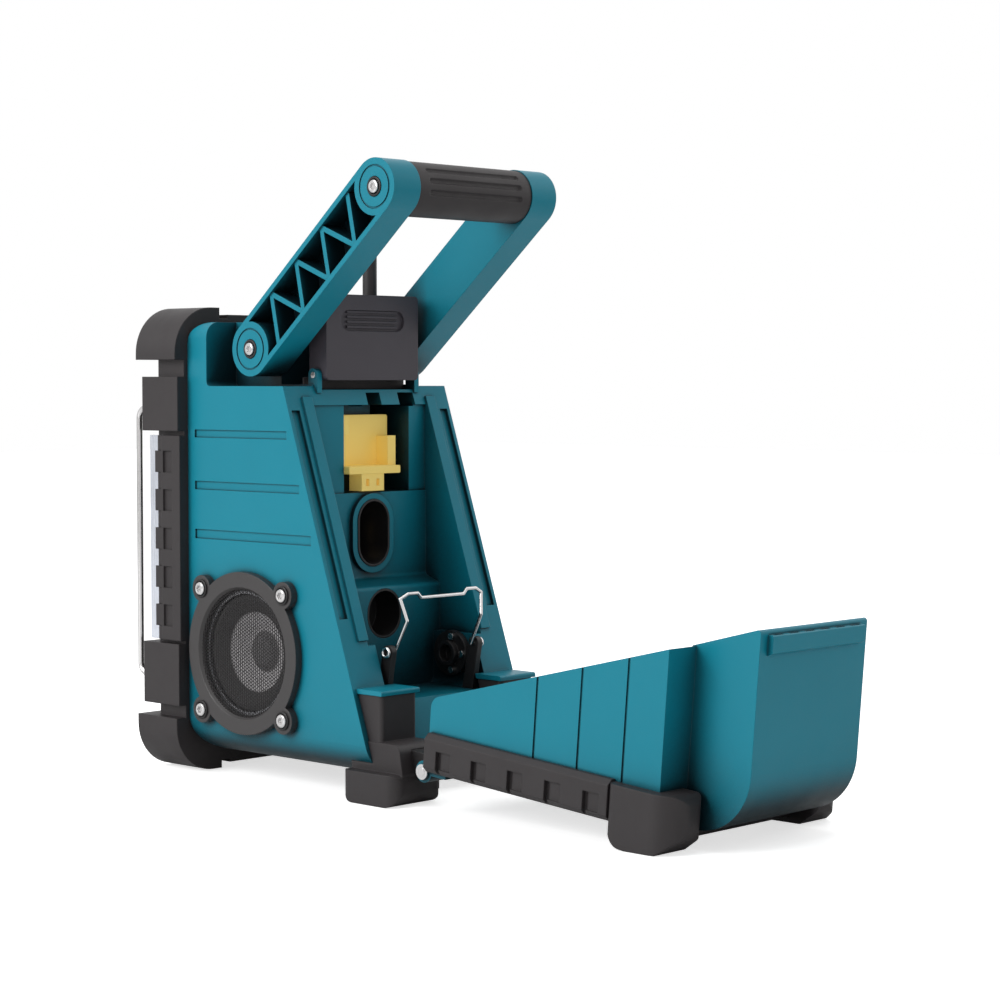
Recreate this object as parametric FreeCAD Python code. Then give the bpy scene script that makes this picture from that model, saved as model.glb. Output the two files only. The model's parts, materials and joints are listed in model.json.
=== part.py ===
import FreeCAD, Part
import os
from math import atan2, cos, degrees, hypot, radians, sin, tan

V = FreeCAD.Vector

# Driving sizes in millimetres. +X is the right side, -Y the display side, +Z up, the ground is z = 0.

# Main housing
body_half_width = 71.0
body_front_y = -91.0
body_bottom_z = 16.0
body_top_z = 292.0
front_corner_radius = 15.0
front_foot_radius = 24.0
side_top_radius = 10.0
side_bottom_radius = 18.0
slope_top_y = 1.7
slope_top_z = 250.2
slope_angle = 18.77
top_block_end_y = -28.0
shelf_z = 252.0

# Side recess that the handle arm folds into
recess_front_y = -72.0
recess_floor_z = 251.0
recess_inner_x = 46.0

# Battery bay behind the cover
bay_half_width = 50.0
bay_top_z = 239.0
bracket_bottom_z = 183.0
terminal_wall_y = -13.0
socket_wall_y = 5.0
bay_shelf_z = 128.0
lower_wall_y = 18.0
bay_floor_z = 58.0
lower_bay_half_width = 44.0
lower_bay_corner = 4.0
lower_bay_top_z = 92.0
bracket_face_y = 3.5
near_bracket_x = 21.5
far_bracket_x = -36.0
channel_depth = 34.0
catch_depth = 36.0
rail_height = 1.5
rail_width = 8.0

# Speakers, one in each side
speaker_y = -33.4
speaker_z = 82.4
speaker_ring_radius = 51.5
grille_radius = 39.5
ring_stand = 5.0
screw_square = 39.0
lobe_radius = 8.5
speaker_pocket_radius = 41.0
speaker_pocket_depth = 40.0

# Carrying handle
pivot_y = -29.07
pivot_z = 274.26
arm_length = 147.9
arm_radius = 17.2
arm_inner_x = 49.0
arm_rest_angle = 40.15
grip_radius = 16.6
grip_gap = 0.3
pivot_screw_radius = 3.0
running_clearance = 0.05
truss_depth = 17.0
truss_rib = 3.2

# Latch above the bay
latch_half_width = 40.2
latch_thickness = 16.0
latch_bottom_z = 254.7
latch_top_z = 308.8
latch_axis_y = 0.0
latch_axis_z = 258.0
latch_well_z = 248.8
latch_pin_radius = 2.0

# Antenna
antenna_x = -20.4
antenna_y = -16.5
antenna_radius = 4.65
antenna_top_z = 384.0

# Battery cover, given along its own length s and height t while it lies open
hinge_y = 125.7
hinge_z = 24.7
cover_tilt = 4.64
hinge_s = 3.1
hinge_t = -1.33
cover_half_width = 71.7
cover_wall = 3.0
cover_start_s = 6.0
cover_step_s = 182.0
cover_end_s = 224.5
cover_start_t = 43.0
cover_step_t = 100.0
cover_end_t = 115.5
narrow_half_width = 48.5
end_radius = 36.0
hinge_pin_radius = 2.5
hinge_eye_radius = 6.5
body_lug_outer_x = 58.0
cover_lug_inner_x = 60.0

# Rubber parts
bumper_front_y = -131.0
bumper_half_width = 81.5
bumper_top_z = 302.0
bumper_radius = 30.0
bumper_opening_half_width = 60.0
bumper_opening_bottom = 31.0
bumper_opening_top = 272.0
boot_half_width = 76.0
boot_inner_x = 37.0
boot_front_y = 60.0
boot_rear_y = 105.0
boot_toe_z = 19.5
boot_waist_z = 37.0
boot_waist_y = 101.0
boot_waist_x = 68.1
boot_wall = 4.0
block_outer_x = 67.0
block_rear_y = 85.0
block_top_z = 65.0
ledge_thickness = 3.0
ledge_overhang = 1.2

# Front controls
panel_gap = 0.4
panel_face_y = -119.0
button_clearance = 0.25
button_stand = 2.5
knob_radius = 17.0
knob_x = 34.0
knob_z = 92.0
small_button_width = 14.0
small_button_height = 9.0


def slope_y(z):
    """Depth of the sloped rear edge at a height."""
    return slope_top_y + (slope_top_z - z) * tan(radians(slope_angle))


def box(x0, x1, y0, y1, z0, z1):
    return Part.makeBox(x1 - x0, y1 - y0, z1 - z0, V(x0, y0, z0))


def rod(start, end, radius):
    a, b = V(*start), V(*end)
    return Part.makeCylinder(radius, (b - a).Length, a, b - a)


def place(plane, u, v, w):
    """A point of an outline (u, v) at distance w along the plane's normal."""
    if plane == "yz":
        return V(w, u, v)
    if plane == "xz":
        return V(u, w, v)
    return V(u, v, w)


def rounded_path(points, closed):
    """Lines through (u, v) or (u, v, radius) points, with a tangent arc at each radius."""
    count = len(points)
    starts, ends, middles = [], [], []
    for i, point in enumerate(points):
        here = V(point[0], point[1], 0)
        radius = point[2] if len(point) > 2 else 0
        if radius == 0 or (not closed and i in (0, count - 1)):
            starts.append(here)
            ends.append(here)
            middles.append(None)
            continue
        before = points[i - 1]
        after = points[(i + 1) % count]
        back = (V(before[0], before[1], 0) - here).normalize()
        on = (V(after[0], after[1], 0) - here).normalize()
        half = back.getAngle(on) / 2
        reach = radius / tan(half)
        inward = (back + on).normalize()
        starts.append(here + back * reach)
        ends.append(here + on * reach)
        middles.append(here + inward * (radius / sin(half) - radius))
    return starts, middles, ends


def outline(points, plane, level, closed=True):
    starts, middles, ends = rounded_path(points, closed)
    edges = []
    count = len(points)
    for i in range(count):
        if middles[i] is not None:
            arc = [place(plane, p.x, p.y, level) for p in (starts[i], middles[i], ends[i])]
            edges.append(Part.Arc(*arc).toShape())
        if i == count - 1 and not closed:
            break
        here = place(plane, ends[i].x, ends[i].y, level)
        goal = starts[(i + 1) % count]
        goal = place(plane, goal.x, goal.y, level)
        if (goal - here).Length > 1e-6:
            edges.append(Part.makeLine(here, goal))
    return Part.Wire(edges)


def prism(points, plane, low, high):
    """A rounded outline carried straight from one level to another."""
    face = Part.Face(outline(points, plane, low))
    return face.extrude(place(plane, 0, 0, high - low))


def rounded_box(plane, u0, u1, v0, v1, radius, low, high):
    corners = [(u0, v0, radius), (u1, v0, radius), (u1, v1, radius), (u0, v1, radius)]
    return prism(corners, plane, low, high)


def stadium(x, z0, z1, half, y0, y1):
    """An upright slot shape with round ends, facing the rear."""
    ends = rod((x, y0, z0 + half), (x, y1, z0 + half), half)
    ends = ends.fuse(rod((x, y0, z1 - half), (x, y1, z1 - half), half))
    return ends.fuse(box(x - half, x + half, y0, y1, z0 + half, z1 - half)).removeSplitter()


def ring_about_x(profile, y, z):
    """A profile of (x, radius) points turned about a line along X."""
    points = [V(x, y, z + r) for x, r in profile]
    face = Part.Face(Part.makePolygon(points + [points[0]]))
    return face.revolve(V(0, y, z), V(1, 0, 0), 360)


def bent_wire(points, x, radius):
    """A round wire along a rounded path in the plane at x."""
    path = outline(points, "yz", x, closed=False)
    start = V(x, points[0][0], points[0][1])
    along = V(0, points[1][0] - points[0][0], points[1][1] - points[0][1])
    ring = Part.Wire(Part.makeCircle(radius, start, along))
    return path.makePipeShell([ring], True, False)


def joined(shapes):
    result = shapes[0]
    if len(shapes) > 1:
        result = result.fuse(shapes[1:])
    return result.removeSplitter()


def mirrored(shape):
    return shape.mirror(V(0, 0, 0), V(1, 0, 0))


def write(name, shape):
    shape.exportStep("parts/" + name + ".step")


def write_pair(name, shape):
    write(name + "_right", shape)
    write(name + "_left", mirrored(shape))


def to_open_cover(shape):
    """Moves a shape from the cover's own frame (s, t) to where it lies open."""
    moved = shape.copy()
    moved.translate(V(0, -hinge_s, -hinge_t))
    moved.rotate(V(0, 0, 0), V(1, 0, 0), -cover_tilt)
    moved.translate(V(0, hinge_y, hinge_z))
    return moved


def to_rest_arm(shape):
    """Turns a shape drawn along +Y from the pivot to the handle's rest angle."""
    moved = shape.copy()
    moved.rotate(V(0, pivot_y, pivot_z), V(1, 0, 0), arm_rest_angle)
    return moved


# Main housing

socket_half = 14.0
socket_bottom = 135.5
socket_top = 179.0
socket_rim = 4.0
socket_depth = 32.0
lower_socket_half = 15.0
lower_socket_bottom = 90.0
lower_socket_top = 122.0
lower_socket_depth = 24.0
cavity_half_width = 56.0
cavity_bottom = 44.0
cavity_top = 246.0
cavity_rear_y = -66.0


def housing_blank():
    profile = [
        (body_front_y, body_bottom_z, front_foot_radius),
        (body_front_y, body_top_z, front_corner_radius),
        (top_block_end_y, body_top_z, 6),
        (top_block_end_y, shelf_z),
        (slope_y(shelf_z), shelf_z),
        (slope_y(body_bottom_z), body_bottom_z, 6),
    ]
    side_view = prism(profile, "yz", -body_half_width, body_half_width)
    section = prism([
        (-body_half_width, body_bottom_z, side_bottom_radius),
        (body_half_width, body_bottom_z, side_bottom_radius),
        (body_half_width, body_top_z, side_top_radius),
        (-body_half_width, body_top_z, side_top_radius),
    ], "xz", body_front_y, slope_y(body_bottom_z))
    return side_view.common(section)


def arm_recess():
    return rounded_box("yz", recess_front_y, 60, recess_floor_z, 330, 3,
                       recess_inner_x, body_half_width + 5)


def bay_space():
    rear = slope_y(bay_floor_z) + 30
    upper = prism([
        (rear, bay_top_z),
        (terminal_wall_y, bay_top_z),
        (terminal_wall_y, bracket_bottom_z),
        (socket_wall_y, bracket_bottom_z),
        (socket_wall_y, bay_shelf_z, 3),
        (lower_wall_y, bay_shelf_z - 5, 3),
        (lower_wall_y, lower_bay_top_z),
        (rear, lower_bay_top_z),
    ], "yz", -bay_half_width, bay_half_width)
    lower = rounded_box("xz", -lower_bay_half_width, lower_bay_half_width,
                        bay_floor_z, lower_bay_top_z + 8, lower_bay_corner, lower_wall_y, rear)
    return upper.fuse(lower)


def bay_brackets():
    near = box(near_bracket_x, bay_half_width + 1, terminal_wall_y - 1, bracket_face_y,
               bracket_bottom_z, bay_top_z + 1)
    far = box(-bay_half_width - 1, far_bracket_x, terminal_wall_y - 1, bracket_face_y,
              bracket_bottom_z, bay_top_z + 1)
    rim = stadium(0, socket_bottom - socket_rim, socket_top + socket_rim - 0.5,
                  socket_half + socket_rim, socket_wall_y - 1, socket_wall_y + 3)
    return [near, far, rim]


def bay_holes():
    pod = stadium(0, socket_bottom, socket_top, socket_half,
                  socket_wall_y + 3 - socket_depth, socket_wall_y + 4)
    lower = stadium(0, lower_socket_bottom, lower_socket_top, lower_socket_half,
                    lower_wall_y - lower_socket_depth, lower_wall_y + 1)
    rear = slope_y(bay_top_z)
    slot = box(-10, 2, rear - catch_depth, rear + 5, bay_top_z - 1, latch_well_z - 2)
    catch = box(-40, -26, rear - catch_depth, rear + 5, bay_top_z - 1, latch_well_z - 2)
    channel = box(far_bracket_x, far_bracket_x + 19, terminal_wall_y - channel_depth, terminal_wall_y + 1,
                  bracket_bottom_z, bay_top_z)
    return [pod, lower, slot, catch, channel]


def on_slope(x0, x1, z0, z1, depth, height):
    """A strip along the sloped rear edge, from depth below it to height above it."""
    lean = tan(radians(slope_angle))
    corners = [(slope_y(z0) - depth, z0 - depth * lean), (slope_y(z0) + height, z0 + height * lean),
               (slope_y(z1) + height, z1 + height * lean), (slope_y(z1) - depth, z1 - depth * lean)]
    return prism(corners, "yz", x0, x1)


def side_grooves():
    grooves = []
    for low, high in ((218, 223), (184.6, 190), (153, 159)):
        start = recess_front_y - 12
        grooves.append(box(body_half_width - 1.2, body_half_width + 1, start, slope_y(low) - 8, low, high))
    return grooves


def hinge_bracket():
    """The arm that comes out through the rear boot and carries the cover's pin."""
    inner_x = boot_inner_x + boot_wall
    eye = rod((inner_x, hinge_y, hinge_z), (body_lug_outer_x, hinge_y, hinge_z), hinge_eye_radius)
    arm = prism([
        (slope_y(body_bottom_z) - 30, hinge_z - 4.5),
        (block_rear_y, hinge_z - 4.5),
        (hinge_y, hinge_z - hinge_eye_radius),
        (hinge_y, hinge_z + hinge_eye_radius),
        (block_rear_y, hinge_z + 10),
        (slope_y(body_bottom_z) - 30, hinge_z + 10),
    ], "yz", inner_x, body_lug_outer_x)
    bore = rod((0, hinge_y, hinge_z), (80, hinge_y, hinge_z), hinge_pin_radius)
    return eye.fuse(arm).cut([bore, housing_blank()])


def rear_ledge():
    """The ledge of the housing that caps the rear boot."""
    rear = block_rear_y + ledge_overhang
    top = block_top_z + ledge_thickness
    inside = slope_y(block_top_z) - 20
    ledge = prism([
        (inside, block_top_z),
        (rear, block_top_z),
        (rear, top, ledge_thickness / 2),
        (inside, top),
    ], "yz", boot_inner_x - ledge_overhang, block_outer_x + ledge_overhang)
    return ledge.cut(bay_space().common(housing_blank()))


def pivot_boss():
    return rod((recess_inner_x - 1, pivot_y, pivot_z), (arm_inner_x - 0.4, pivot_y, pivot_z), 13)


latch_lug_thickness = 4.0
latch_lug_gap = 0.4
latch_lug_half_depth = 4.2


def latch_lugs():
    lugs = []
    half = latch_lug_half_depth
    for x in (latch_half_width + latch_lug_gap, -latch_half_width - latch_lug_gap - latch_lug_thickness):
        lugs.append(prism([
            (-half, latch_well_z - 2), (half, latch_well_z - 2),
            (half, latch_axis_z + half, half - 0.1), (-half, latch_axis_z + half, half - 0.1),
        ], "yz", x, x + latch_lug_thickness))
    return lugs


post_thickness = 4.0
post_half_depth = 4.2
post_gap = 2.2


def bail_posts():
    """The two small posts on the bay floor that the wire bail turns in."""
    half = post_half_depth
    foot = slope_y(bay_floor_z)
    post = prism([
        (foot - 15, bay_floor_z), (foot - 6, bay_floor_z),
        (bail_axis_y + half, bail_axis_z, 2), (bail_axis_y + half, bail_axis_z + half, half - 0.5),
        (bail_axis_y - half, bail_axis_z + half, half - 0.5), (bail_axis_y - half, bail_axis_z, 2),
    ], "yz", bail_half_width + post_gap, bail_half_width + post_gap + post_thickness)
    bore = rod((0, bail_axis_y, bail_axis_z), (body_half_width, bail_axis_y, bail_axis_z),
               bail_wire_radius + running_clearance)
    post = post.cut(bore)
    return Part.makeCompound([post, mirrored(post)])


def body_shell():
    body = housing_blank()
    body = body.cut([arm_recess(), mirrored(arm_recess()), bay_space()])
    well = box(-latch_half_width - 4.4, latch_half_width + 4.4, -10.5, 20, latch_well_z, 300)
    cavity = rounded_box("xz", -cavity_half_width, cavity_half_width, cavity_bottom, cavity_top, 8,
                         body_front_y - 1, cavity_rear_y)
    body = body.cut([well, cavity])
    adds = bay_brackets() + latch_lugs()
    rail = on_slope(bay_half_width, bay_half_width + rail_width, 95, 244, 1, rail_height)
    for piece in (rear_ledge(), pivot_boss(), rail):
        adds += [piece, mirrored(piece)]
    body = body.fuse(adds)
    cuts = bay_holes() + side_grooves()
    cuts += [mirrored(groove) for groove in side_grooves()]
    groove = on_slope(61.5, 68.3, 109, 236, 2.2, 2)
    pocket = rod((body_half_width - speaker_pocket_depth, speaker_y, speaker_z),
                 (body_half_width + 1, speaker_y, speaker_z), speaker_pocket_radius)
    screw_hole = rod((recess_inner_x - 12, pivot_y, pivot_z), (body_half_width, pivot_y, pivot_z),
                     pivot_screw_radius)
    for cut in (groove, pocket, screw_hole):
        cuts += [cut, mirrored(cut)]
    latch_bore = rod((-latch_half_width - 5, latch_axis_y, latch_axis_z),
                     (latch_half_width + 5, latch_axis_y, latch_axis_z), latch_pin_radius)
    inlet = rod((-body_half_width - 1, inlet_y, inlet_z),
                (-body_half_width + inlet_depth, inlet_y, inlet_z), inlet_radius)
    aux = rod((-body_half_width - 1, aux_y, inlet_z),
              (-body_half_width + inlet_depth, aux_y, inlet_z), aux_radius)
    cuts += [latch_bore, inlet, aux]
    return body.cut(cuts).removeSplitter()


# Sockets of the hidden side

inlet_y = -60.0
aux_y = -42.0
inlet_z = 235.0
inlet_radius = 6.0
aux_radius = 4.0
inlet_depth = 14.0
inlet_bore_radius = 2.8
aux_bore_radius = 1.8
jack_bore_length = 10.0


def jack(y, outer, bore):
    """A round socket set flush in the left side, with a blind bore."""
    face = -body_half_width
    body = rod((face + inlet_depth, y, inlet_z), (face, y, inlet_z), outer)
    return body.cut(rod((face + jack_bore_length, y, inlet_z), (face - 1, y, inlet_z), bore))


# Front bumper, panel and controls

def ring_block(half_width, bottom, top, radius, front, rear):
    outer = rounded_box("xz", -half_width, half_width, bottom, top, radius, front, rear)
    inner = rounded_box("xz", -bumper_opening_half_width, bumper_opening_half_width,
                        bumper_opening_bottom, bumper_opening_top, 12, front - 1, rear + 1)
    return outer.cut(inner)


core_half_width = 74.0
core_front_y = -117.0
ribbed_half_width = 78.0
ribbed_front_y = -110.0
ribbed_bottom = 86.0
ribbed_top = 219.0
rib_count = 5
rib_pitch = 25.0
rib_height = 14.0
rib_reach = 6.0
rib_sink = 1.4
strip_thickness = 1.6
guard_x = 72.5
guard_radius = 2.0
guard_reach = 8.0


def bumper_span(shape, low, high):
    """The two side lengths of a bumper ring between two heights."""
    length = box(44, 90, -200, 0, low, high)
    return [shape.common(length), shape.common(mirrored(length))]


def front_bumper():
    rear = body_front_y
    side_front = bumper_front_y + 4
    core = ring_block(core_half_width, 5, 295, 25, core_front_y, rear)
    corner = ring_block(bumper_half_width, 0, bumper_top_z, bumper_radius, bumper_front_y, rear)
    side = ring_block(bumper_half_width - 2, 0, bumper_top_z, bumper_radius, side_front, rear)
    ribbed = ring_block(ribbed_half_width, 0, bumper_top_z, bumper_radius, ribbed_front_y, rear)
    rib = ring_block(ribbed_half_width, 0, bumper_top_z, bumper_radius, ribbed_front_y - rib_reach, rear)
    strip = ring_block(ribbed_half_width, 3, 297.5, bumper_radius - 4, bumper_front_y + 7, rear)
    blocks = [core]
    blocks += bumper_span(corner, 268, 310)
    blocks += bumper_span(corner, -10, 36)
    blocks += bumper_span(side, 222, 257)
    blocks += bumper_span(side, 44, 84)
    blocks += bumper_span(ribbed, ribbed_bottom, ribbed_top)
    cuts = [front_guard(), mirrored(front_guard()), trim_strip(), mirrored(trim_strip())]
    for i in range(rib_count):
        low = ribbed_bottom + 9 + i * rib_pitch
        blocks += bumper_span(rib, low, low + rib_height)
        sink = box(ribbed_half_width - rib_sink, 90, ribbed_front_y + 2, rear - 8, low, low + rib_height)
        cuts += [sink, mirrored(sink)]
    for low, high in ((290, 310), (-10, 10)):
        blocks.append(strip.common(box(-37, 37, -200, 0, low, high)))
    return joined(blocks).cut(cuts).removeSplitter()


def front_guard():
    """A bright wire loop that stands ahead of the bumper's long side."""
    front = bumper_front_y - guard_reach
    return bent_wire([
        (bumper_front_y + 4.5, 240),
        (front, 234, 7),
        (front, 64, 7),
        (bumper_front_y + 4.5, 58),
    ], guard_x, guard_radius)


def trim_strip():
    """A bright strip that stands ahead of the ribs, against the bumper's core."""
    return box(core_half_width, core_half_width + strip_thickness, core_front_y - 7, ribbed_front_y - 1,
               ribbed_bottom, ribbed_top)


display_half_width = 41.0
display_bottom = 196.0
display_top = 246.0
button_places = []
for column in range(5):
    button_places.append((-40 + column * 20, 172))
for column in range(4):
    button_places.append((-43 + column * 17, 150))


def front_panel():
    gap = panel_gap
    panel = rounded_box("xz", -bumper_opening_half_width + gap, bumper_opening_half_width - gap,
                        bumper_opening_bottom + gap, bumper_opening_top - gap, 12 - gap,
                        panel_face_y, body_front_y)
    hollow = rounded_box("xz", -52, 52, 46, 260, 6, panel_face_y + 4, body_front_y + 1)
    window = rounded_box("xz", -display_half_width, display_half_width, display_bottom, display_top, 4,
                         panel_face_y - 1, panel_face_y + 5)
    cuts = [hollow, window]
    for x, z in button_places:
        cuts.append(button_shape(x, z, button_clearance, panel_face_y - 1, panel_face_y + 5))
    cuts.append(rod((knob_x, panel_face_y - 1, knob_z), (knob_x, panel_face_y + 5, knob_z), 4))
    return panel.cut(cuts).removeSplitter()


def button_shape(x, z, grow, front, rear):
    half_width = small_button_width / 2 + grow
    half_height = small_button_height / 2 + grow
    return rounded_box("xz", x - half_width, x + half_width, z - half_height, z + half_height,
                       2 + grow, front, rear)


def button(x, z):
    cap = button_shape(x, z, 0, panel_face_y - button_stand, panel_face_y + 4.2)
    flange = button_shape(x, z, 1, panel_face_y + 4.2, panel_face_y + 5.5)
    return joined([cap, flange])


def tuning_knob():
    """A fluted knob on a short shaft."""
    front = panel_face_y - 15
    rear = panel_face_y - 0.5
    knob = rod((knob_x, rear, knob_z), (knob_x, front, knob_z), knob_radius)
    knob = knob.makeChamfer(1.2, [edge for edge in knob.Edges if abs(edge.CenterOfMass.y - front) < 0.1])
    flutes = []
    for i in range(24):
        turn = radians(i * 15)
        x = knob_x + (knob_radius + 0.5) * cos(turn)
        z = knob_z + (knob_radius + 0.5) * sin(turn)
        flutes.append(rod((x, front - 1, z), (x, rear - 3, z), 1.3))
    shaft = rod((knob_x, rear - 1, knob_z), (knob_x, panel_face_y + 8, knob_z), 4 - running_clearance)
    return knob.cut(flutes).fuse(shaft).removeSplitter()


def circuit_board():
    return box(-50, 50, body_front_y - 3, body_front_y - 1.4, 60, 252)


def display_module():
    plate = box(-44, 44, panel_face_y + 5.2, panel_face_y + 10, display_bottom - 4, display_top + 4)
    return plate


def display_window():
    gap = 0.2
    return rounded_box("xz", -display_half_width + gap, display_half_width - gap,
                       display_bottom + gap, display_top - gap, 4, panel_face_y + 0.8, panel_face_y + 4)


# Speakers

def speaker_ring():
    face = body_half_width
    ring = rod((face, speaker_y, speaker_z), (face + ring_stand, speaker_y, speaker_z), speaker_ring_radius)
    lobes = [rod((face, speaker_y + a * screw_square, speaker_z + b * screw_square),
                 (face + ring_stand, speaker_y + a * screw_square, speaker_z + b * screw_square), lobe_radius)
             for a in (-1, 1) for b in (-1, 1)]
    ring = joined([ring] + lobes)
    opening = Part.makeCone(grille_radius + 2.5, grille_radius, 3, V(face + ring_stand, speaker_y, speaker_z),
                            V(-1, 0, 0))
    through = rod((face - 1, speaker_y, speaker_z), (face + 6, speaker_y, speaker_z), grille_radius)
    seat = rod((face - 1, speaker_y, speaker_z), (face + 1.2, speaker_y, speaker_z), grille_radius + 1)
    holes = [rod((face - 1, speaker_y + a * screw_square, speaker_z + b * screw_square),
                 (face + 6, speaker_y + a * screw_square, speaker_z + b * screw_square), 3.0)
             for a in (-1, 1) for b in (-1, 1)]
    return ring.cut([opening, through, seat] + holes).removeSplitter()


def speaker_grille():
    face = body_half_width
    return rod((face, speaker_y, speaker_z), (face + 1.2, speaker_y, speaker_z), grille_radius + 1)


def speaker_cone():
    """Surround, paper cone and dust cap as one turned shell."""
    face = body_half_width
    profile = [(face - 3, 37), (face - 2, 34), (face - 4, 31), (face - 16, 14), (face - 12, 9), (face - 10.5, 0),
               (face - 12.5, 0), (face - 18, 12), (face - 6, 31), (face - 5, 37)]
    return ring_about_x(profile, speaker_y, speaker_z)


def speaker_basket():
    """The open frame of the drive unit, with its magnet behind."""
    face = body_half_width
    profile = [(face - 0.3, 40.6), (face - 0.3, 37.5), (face - 8, 37.5), (face - 22, 20), (face - 22, 0),
               (face - 38, 0), (face - 38, 27), (face - 26, 27), (face - 24, 22), (face - 10, 40.6)]
    return ring_about_x(profile, speaker_y, speaker_z)


def speaker_screws():
    face = body_half_width + ring_stand
    screws = []
    for a in (-1, 1):
        for b in (-1, 1):
            y = speaker_y + a * screw_square
            z = speaker_z + b * screw_square
            shank = rod((face - 5, y, z), (face, y, z), 2.6)
            head = rod((face, y, z), (face + 1.8, y, z), 4.6)
            socket = rod((face + 0.6, y, z), (face + 2, y, z), 1.8)
            screws.append(shank.fuse(head).cut(socket))
    return Part.makeCompound(screws + [mirrored(screw) for screw in screws])


# Battery bay fittings

def battery_terminal():
    """The yellow contact carrier: a tray with side walls, a flange and a tab with two slots."""
    back = terminal_wall_y
    tray = rounded_box("xz", -28.5, 18, 197, 232.5, 1.5, back, back + 4)
    ears = [box(13.5, 19, back, 0, 220, 232), box(-25.5, -18.5, back, 2, 199, 219),
            box(16, 18, back, -1, 199, 220)]
    flange = rounded_box("xz", -24, 21, 195, 200, 1, back, 8)
    tab = box(-9.8, 9.8, back + 9, 7.5, tab_bottom, 196)
    tray = joined([tray, flange, tab] + ears)
    slots = [box(x - 1.3, x + 1.3, slot_back_y, 9, slot_bottom, slot_bottom + slot_height)
             for x in (-slot_x, slot_x)]
    return tray.cut(slots).removeSplitter()


tab_bottom = 184.0
slot_x = 4.5
slot_back_y = 1.0
slot_bottom = 187.3
slot_height = 4.4
blade_length = 3.0


def terminal_blades():
    """Two spring contacts at the back of the tab's slots."""
    return Part.makeCompound([
        box(x - 0.5, x + 0.5, slot_back_y, slot_back_y + blade_length, slot_bottom, slot_bottom + slot_height)
        for x in (-slot_x, slot_x)])


liner_gap = 0.2
liner_wall = 1.6


def socket_liner(bottom, top, half, front, depth):
    """A dark cup that lines one of the battery sockets."""
    outer = stadium(0, bottom + liner_gap, top - liner_gap, half - liner_gap, front - depth, front)
    inner = stadium(0, bottom + liner_wall, top - liner_wall, half - liner_wall, front - depth + liner_wall,
                    front + 1)
    return outer.cut(inner)


def pod_contacts():
    back = socket_wall_y + 3.5 - socket_depth + liner_wall
    return Part.makeCompound([box(x - 1, x + 1, back, back + 6, 150, 162) for x in (-7, 7)])


plate_y = 37.0
plate_z = 79.0
plate_radius = 14.5
plate_thickness = 4.0
plate_ring_radius = 8.0


def backup_plate():
    """A round black connection plate with three ears, on the bay's left wall."""
    wall = -lower_bay_half_width
    face = wall + plate_thickness
    plate = rod((wall, plate_y, plate_z), (face, plate_y, plate_z), plate_radius)
    ring = rod((face, plate_y, plate_z), (face + 4, plate_y, plate_z), plate_ring_radius)
    hole = rod((face - 2, plate_y, plate_z), (face + 5, plate_y, plate_z), plate_ring_radius - 2.5)
    return plate.fuse(ring).cut(hole).removeSplitter()


def bay_screws():
    """Three screws set round the connection plate."""
    face = -lower_bay_half_width + plate_thickness
    screws = []
    for turn in (80, 0, -80):
        y = plate_y + (plate_radius - 3.5) * cos(radians(turn))
        z = plate_z + (plate_radius - 3.5) * sin(radians(turn))
        screws.append(rod((face, y, z), (face + 1.5, y, z), 2.2))
    return Part.makeCompound(screws)


bail_half_width = 33.7
bail_axis_y = 62.0
bail_axis_z = 87.5
bail_wire_radius = 1.1


def bail_leg(points):
    """Straight wire pieces with a ball at each bend."""
    pieces = []
    for start, end in zip(points, points[1:]):
        pieces.append(rod(start, end, bail_wire_radius))
    for point in points[1:-1]:
        pieces.append(Part.makeSphere(bail_wire_radius, V(*point)))
    return pieces


def battery_bail():
    """A sprung wire frame that turns in the two posts and presses on the pack."""
    y, z, half = bail_axis_y, bail_axis_z, bail_half_width
    right = [(half + 5.2, y, z), (half, y, z), (half - 1, y + 10, z + 19.5), (half + 2, y + 7, z + 33),
             (half - 4, y + 8, z + 36), (half - 12, y + 8, z + 36), (half - 15, y + 8, z + 33)]
    left = [(-px, py, pz) for px, py, pz in right]
    return joined(bail_leg(right + left[::-1]))


# Handle

def arm_blank(grow=0.0):
    x0 = arm_inner_x
    x1 = body_half_width
    radius = arm_radius + grow
    end = pivot_y + arm_length
    web = box(x0, x1, pivot_y, end, pivot_z - radius, pivot_z + radius)
    ends = [rod((x0, y, pivot_z), (x1, y, pivot_z), radius) for y in (pivot_y, end)]
    return joined([web] + ends)


def truss_ribs(low_x, high_x):
    """Zigzag ribs that stand in the arm's long pocket."""
    start = pivot_y + 21
    pitch = (arm_length - 42) / 7
    half = arm_radius - 3
    ribs = []
    for i in range(7):
        side = 1 if i % 2 else -1
        a = (start + i * pitch, pivot_z + side * half)
        b = (start + (i + 1) * pitch, pivot_z - side * half)
        run = hypot(b[0] - a[0], b[1] - a[1])
        rib = box(low_x, high_x, -truss_rib / 2, truss_rib / 2 + run - truss_rib / 2, -truss_rib / 2, truss_rib / 2)
        rib.rotate(V(0, 0, 0), V(1, 0, 0), degrees(atan2(b[1] - a[1], b[0] - a[0])))
        rib.translate(V(0, a[0], a[1]))
        ribs.append(rib)
    return ribs


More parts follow.
